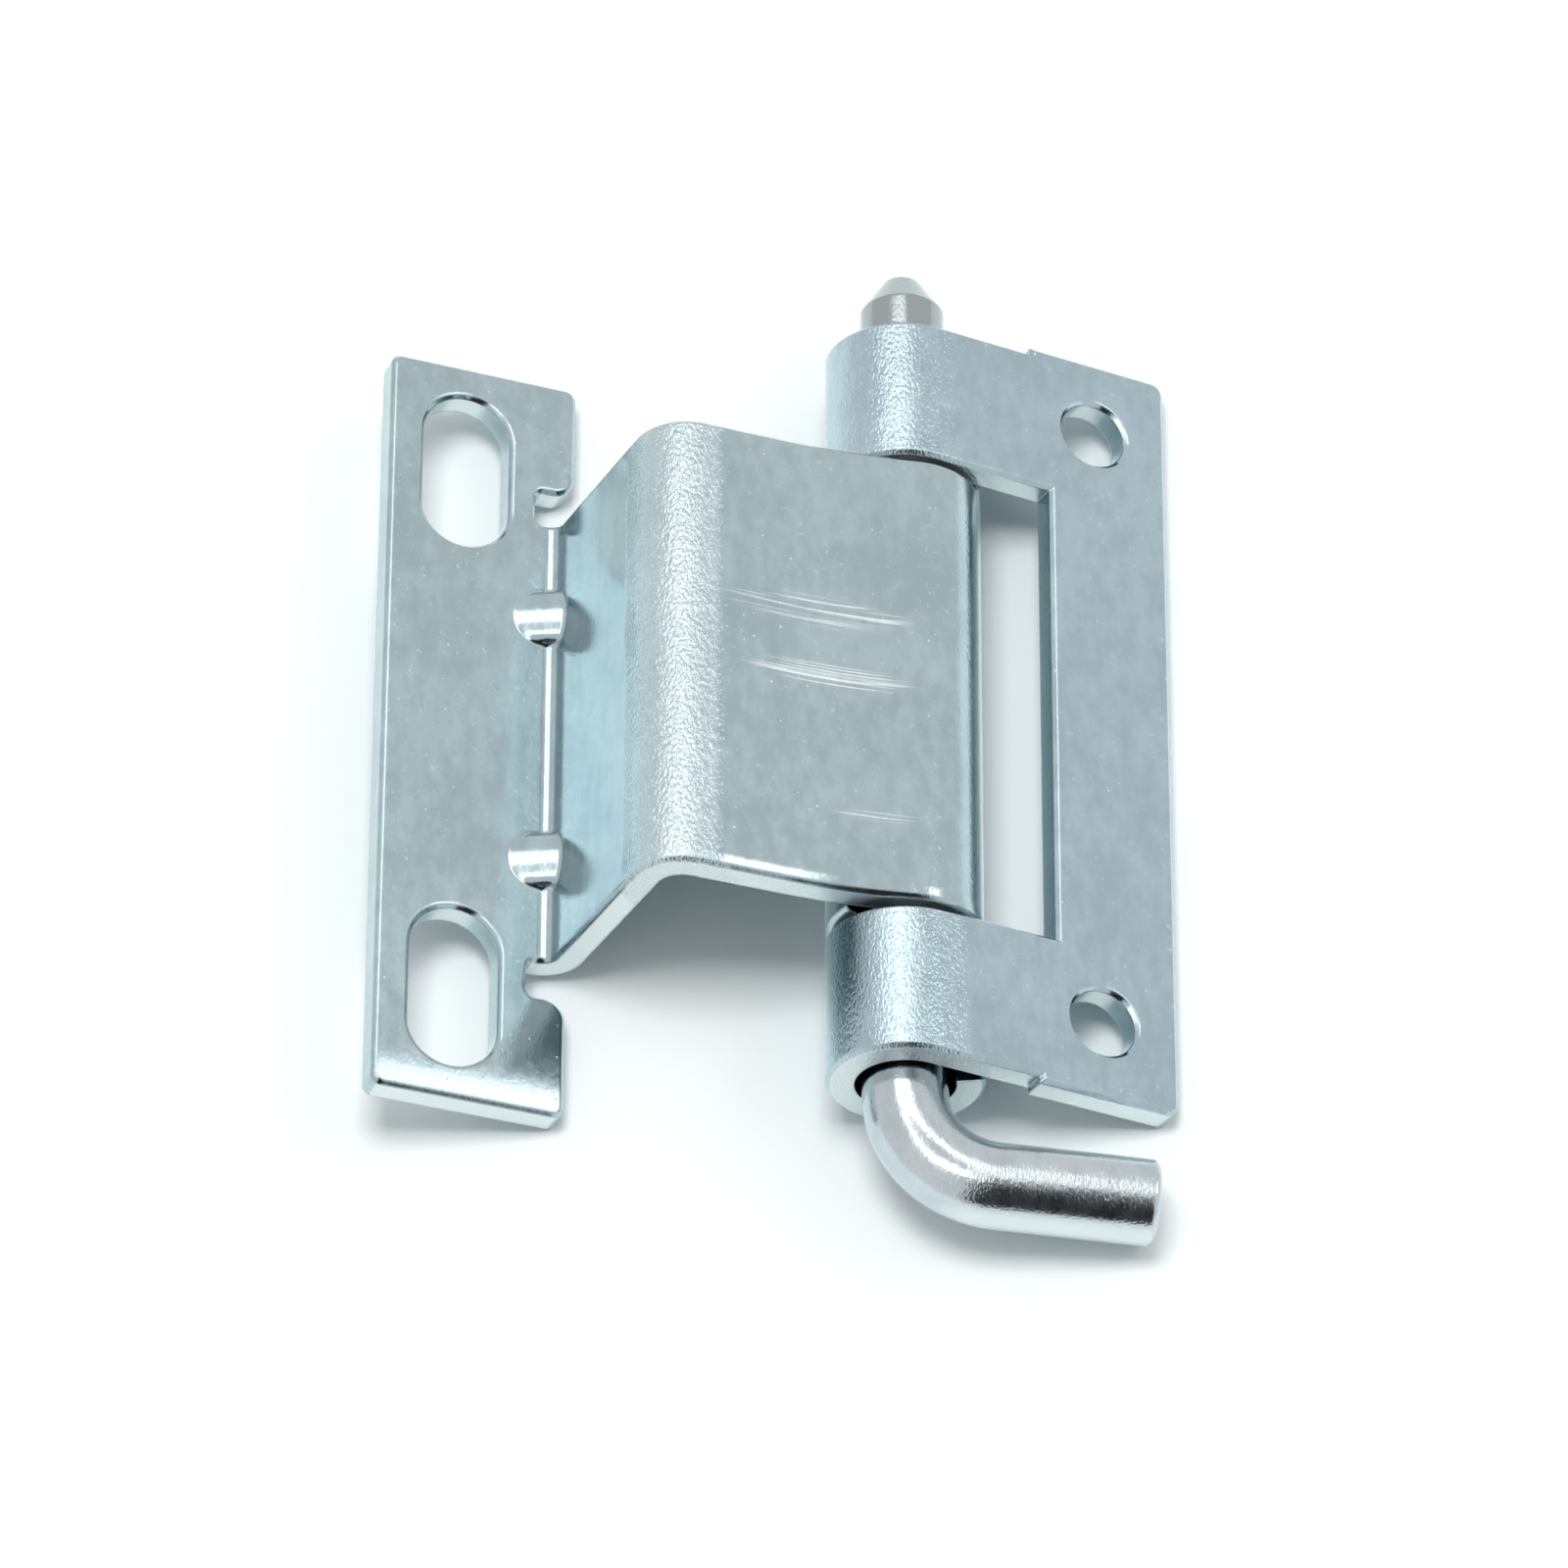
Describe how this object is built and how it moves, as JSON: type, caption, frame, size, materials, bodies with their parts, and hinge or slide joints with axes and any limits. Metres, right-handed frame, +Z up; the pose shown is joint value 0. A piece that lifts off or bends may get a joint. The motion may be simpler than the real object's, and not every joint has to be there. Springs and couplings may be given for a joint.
{
  "type": "electrical cabinet hinge",
  "caption": "Lift-off cabinet hinge: a folded offset leaf with slotted holes, a windowed door leaf with round holes, and a loose pin bent into a pull handle.",
  "frame": {"origin": "centre of the two mounting slots, on the back face of the frame leaf's strip", "axes": "+Z up along the pin, from its coned tip to its handle; -Y out of the mounting face, towards the viewer; -X across the hinge towards the door leaf"},
  "size_m": [0.0531, 0.021, 0.0769],
  "materials": {
    "zinc_sheet": "blue-white zinc plate, satin",
    "zinc_rod": "blue-white zinc plate, semi-bright"
  },
  "bodies": {
    "frame": {"frame_leaf": "zinc_sheet"},
    "door": {"door_leaf": "zinc_sheet"},
    "pin": {"hinge_pin": "zinc_rod"}
  },
  "joints": [
    {"name": "door_swing", "type": "hinge", "parent": "frame", "child": "door", "pos_m": [-0.0285, -0.0143, 0], "axis": [0, 0, 1], "range_deg": [-176, 130]},
    {"name": "pin_slide", "type": "slide", "parent": "frame", "child": "pin", "axis": [0, 0, 1], "range_m": [0, 0.068]}
  ]
}
